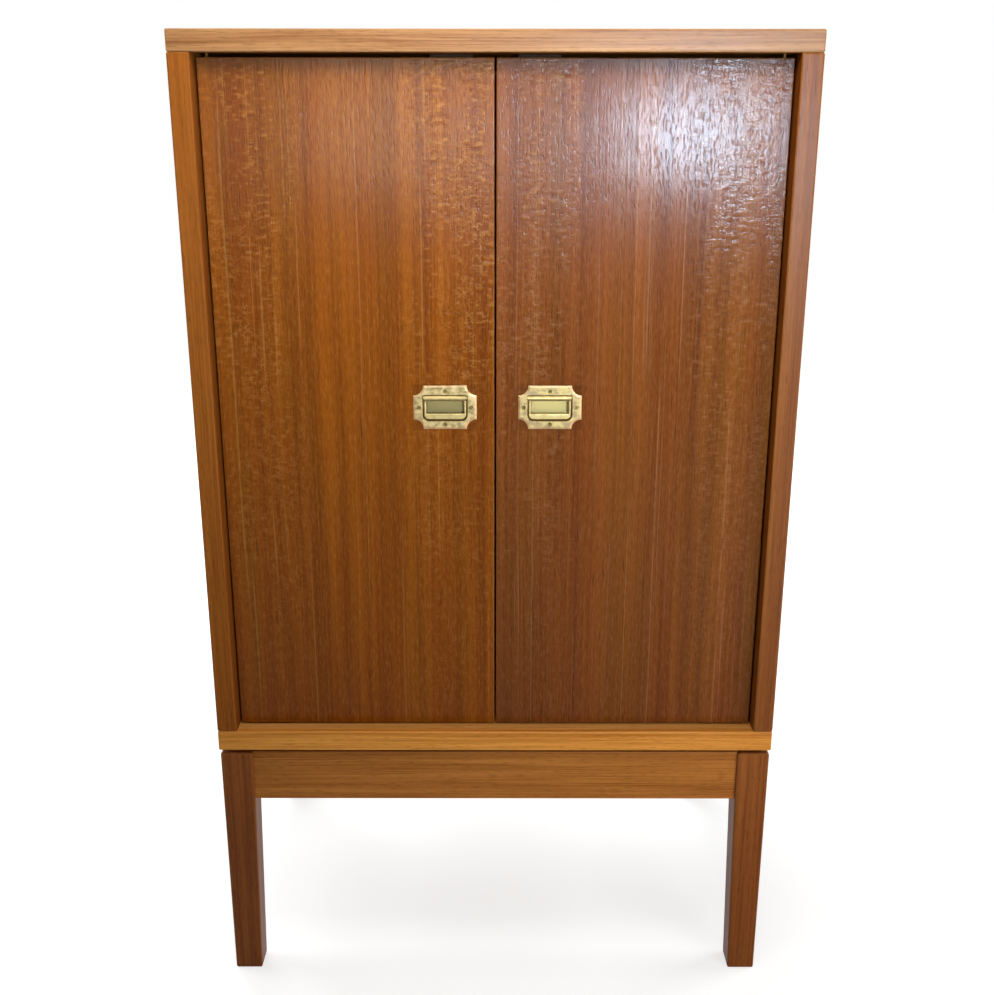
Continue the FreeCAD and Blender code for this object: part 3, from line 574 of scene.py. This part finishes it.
for node in ("back_panel_screws", "stand_screws", "bearer_screws", "catch_screws",
             "left_keeper_screws", "right_keeper_screws"):
    fit_screws(node, steel)
for node in ("fixed_leaf_screws", "left_door_leaf_screws", "right_door_leaf_screws"):
    fit_screws(node, hinge_brass)
for hand in HANDS:
    fit_screws(hand + "_pull_screws", pull_screw_brass)


# Stage: a pale floor, near white to the camera and to reflections. It glows less near the cabinet, so that
# its soft shadow shows. Distances are in metres.

FLOOR_REACH = 14.0
FLOOR_GLOW = 0.64
FLOOR_GLOW_NEAR = 0.7
FLOOR_GLOW_FAR = 2.0
WORLD_FILL = 0.04
WHITE = "#ffffff"


def seen_white(tree):
    """1 for camera, glossy and transmission rays."""
    seen = add(tree, "LightPath", out="Is Camera Ray")
    for ray in ("Is Glossy Ray", "Is Transmission Ray"):
        seen = add(tree, "Math", {0: seen, 1: add(tree, "LightPath", out=ray)}, operation="MAXIMUM")
    return seen


bpy.ops.object.select_all(action="DESELECT")
bpy.ops.mesh.primitive_plane_add(size=2 * FLOOR_REACH)
floor = bpy.context.object
floor.name = "floor"
material, tree = new_material("pale_floor")
away = add(tree, "VectorMath", {0: add(tree, "TexCoord", out="Object")}, out="Value", operation="LENGTH")
glow = add(tree, "MapRange", {0: away, 1: FLOOR_GLOW_NEAR, 2: FLOOR_GLOW_FAR, 3: FLOOR_GLOW, 4: 1.0})
glow = add(tree, "Math", {0: glow, 1: seen_white(tree)}, operation="MULTIPLY")
shader = add(tree, "BsdfPrincipled", {
    "Base Color": linear("#bcc4cc"), "Roughness": 1.0, "Specular IOR Level": 0.0,
    "Emission Color": linear(WHITE), "Emission Strength": glow})
add(tree, "OutputMaterial", {"Surface": shader})
floor.data.materials.append(material)

world = bpy.data.worlds.new("studio")
world.use_nodes = True
bpy.context.scene.world = world
tree = world.node_tree
tree.nodes.clear()
strength = add(tree, "MapRange", {0: seen_white(tree), 1: 0.0, 2: 1.0, 3: WORLD_FILL, 4: 1.0})
background = add(tree, "Background", {"Color": linear(WHITE), "Strength": strength})
add(tree, "OutputWorld", {"Surface": background})


# Lamps: soft front light from above and from the low right, a window and a faint haze mirrored in the
# lacquer, and wide lamps for the back and the sides. Places, aims and sizes are in metres.

WARM = "#fff4e6"
NEUTRAL = "#fff8f0"
WINDOW_BLUE = "#c8e6ff"
HAZE_CREAM = "#ffecc4"


def lamp(name, place, aim, size, watts, code, spread=180):
    """Rectangular soft lamp that faces a point, with its spread in degrees."""
    light = bpy.data.lights.new(name, "AREA")
    light.shape = "RECTANGLE"
    light.size, light.size_y = size
    light.energy = watts
    light.spread = math.radians(spread)
    light.color = linear(code)[:3]
    lamp_object = bpy.data.objects.new(name, light)
    bpy.context.scene.collection.objects.link(lamp_object)
    lamp_object.location = place
    lamp_object.rotation_euler = (Vector(aim) - Vector(place)).to_track_quat("-Z", "Y").to_euler()


lamp("high", (0.0, -0.56, 1.42), (0.0, -0.2, 0.8), (0.65, 0.3), 4.0, WARM)
lamp("ceiling", (0.1, -0.9, 1.75), (0.0, -0.2, 0.9), (0.5, 0.5), 2.7, WARM)
lamp("right", (0.8, -0.9, 0.3), (0.0, -0.2, 0.45), (0.5, 0.5), 4.7, WARM)
lamp("window", (0.6, -2.6, 1.01), (0.16, -0.2, 0.99), (0.38, 0.22), 4.9, WINDOW_BLUE, spread=40)
lamp("haze", (-0.32, -2.6, 1.04), (-0.11, -0.2, 1.02), (0.5, 0.35), 0.16, HAZE_CREAM, spread=16)
lamp("rear", (-0.8, 1.9, 2.5), (0.0, 0.2, 0.6), (2.2, 1.6), 62, NEUTRAL)
lamp("left_side", (-2.0, 0.35, 1.4), (-0.33, 0.1, 0.65), (1.2, 1.2), 24, NEUTRAL)
lamp("right_side", (2.0, 0.35, 1.4), (0.33, 0.1, 0.65), (1.2, 1.2), 24, NEUTRAL)

camera = bpy.data.objects.new("camera", bpy.data.cameras.new("camera"))
camera.data.lens = CAMERA_LENS
camera.location = CAMERA_PLACE
camera.rotation_euler = (math.pi / 2 - CAMERA_TILT, CAMERA_ROLL, 0.0)
bpy.context.scene.collection.objects.link(camera)
bpy.context.scene.camera = camera

bpy.context.scene.view_settings.view_transform = "Standard"
